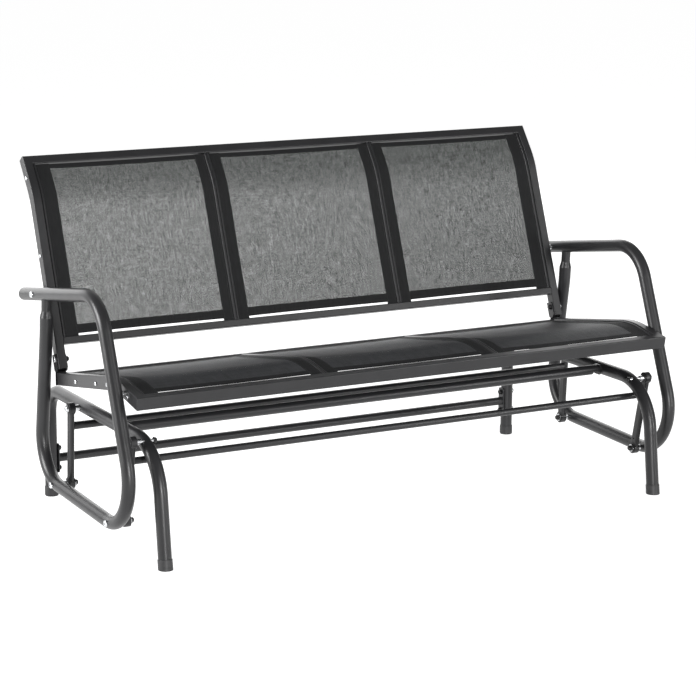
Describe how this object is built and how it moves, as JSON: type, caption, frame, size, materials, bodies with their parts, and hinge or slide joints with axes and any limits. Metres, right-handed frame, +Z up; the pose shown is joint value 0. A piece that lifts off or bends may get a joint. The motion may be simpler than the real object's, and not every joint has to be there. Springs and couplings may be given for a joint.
{
  "type": "glider swing",
  "caption": "Patio glider bench with mesh slings: arm loops hang on swing links from a bent-tube base and glide back and forth.",
  "frame": {"origin": "on the floor under the middle of the bench, centre of the whole object's box", "axes": "+X along the bench to its right end seen from the front, +Y from front to back, +Z up"},
  "size_m": [1.531, 0.7492, 0.854],
  "materials": {
    "frame_paint": "satin charcoal powder coat, very fine texture",
    "back_mesh": "open grey polyester-PVC sling mesh with black hems",
    "seat_mesh": "dark charcoal sling mesh with black hems",
    "rod": "smooth",
    "black_plastic": "moulded, fine grain",
    "bush_plastic": "moulded nylon",
    "black_nut": "black capped nuts",
    "zinc": "bright zinc plate"
  },
  "bodies": {
    "base": {"base_cap_nuts": "black_nut", "base_front_crossbar": "frame_paint", "base_leg_frame_left": "frame_paint", "base_leg_frame_right": "frame_paint", "base_rear_crossbar": "frame_paint", "crossbar_bolts": "zinc", "foot_caps": "black_plastic", "top_pivot_bolts": "zinc", "top_pivot_spacers": "zinc", "top_pivot_washers": "zinc"},
    "front_links": {"front_link_bar": "frame_paint", "front_link_bushes": "bush_plastic", "front_link_left": "frame_paint", "front_link_right": "frame_paint"},
    "rear_links": {"rear_link_bar": "frame_paint", "rear_link_bushes": "bush_plastic", "rear_link_left": "frame_paint", "rear_link_right": "frame_paint"},
    "swing": {"arm_end_caps": "black_plastic", "arm_rear_bolts": "zinc", "arm_tube_left": "frame_paint", "arm_tube_right": "frame_paint", "back_lower_rail": "frame_paint", "back_mid_rail_left": "frame_paint", "back_mid_rail_right": "frame_paint", "back_side_tracks": "frame_paint", "back_sling_centre": "back_mesh", "back_sling_left": "back_mesh", "back_sling_right": "back_mesh", "back_sling_rods": "rod", "back_top_rail": "frame_paint", "back_upright_left": "frame_paint", "back_upright_right": "frame_paint", "bottom_pivot_bolts": "zinc", "bottom_pivot_nuts": "black_nut", "bottom_pivot_spacers": "zinc", "bottom_pivot_washers": "zinc", "bracket_bolts": "zinc", "bracket_nuts": "black_nut", "loop_spacers": "zinc", "loop_spigots": "frame_paint", "rivet_nuts": "zinc", "seat_arm_bolts": "zinc", "seat_front_rail": "frame_paint", "seat_mid_rail_left": "frame_paint", "seat_mid_rail_right": "frame_paint", "seat_rear_rail": "frame_paint", "seat_side_rail_left": "frame_paint", "seat_side_rail_right": "frame_paint", "seat_side_tracks": "frame_paint", "seat_sling_centre": "seat_mesh", "seat_sling_left": "seat_mesh", "seat_sling_right": "seat_mesh", "seat_sling_rods": "rod", "side_tube_left": "frame_paint", "side_tube_right": "frame_paint", "track_screws": "zinc", "upright_brackets": "frame_paint", "upright_end_plugs": "black_plastic"}
  },
  "joints": [
    {"name": "glide", "type": "hinge", "parent": "base", "child": "front_links", "pos_m": [0, -0.262, 0.2775], "axis": [1, 0, 0], "range_deg": [-20, 12]},
    {"name": "swing_on_front_links", "type": "hinge", "parent": "front_links", "child": "swing", "pos_m": [0, -0.221, 0.084], "axis": [1, 0, 0], "range_deg": [-13.16, 21.91]},
    {"name": "rear_link_swing", "type": "hinge", "parent": "base", "child": "rear_links", "pos_m": [0, 0.103, 0.2775], "axis": [1, 0, 0], "range_deg": [-21.15, 12.71]}
  ],
  "couplings": [
    {"joint": "swing_on_front_links", "follows": "glide", "ratio": -1.0929},
    {"joint": "rear_link_swing", "follows": "glide", "ratio": 1.0551}
  ]
}
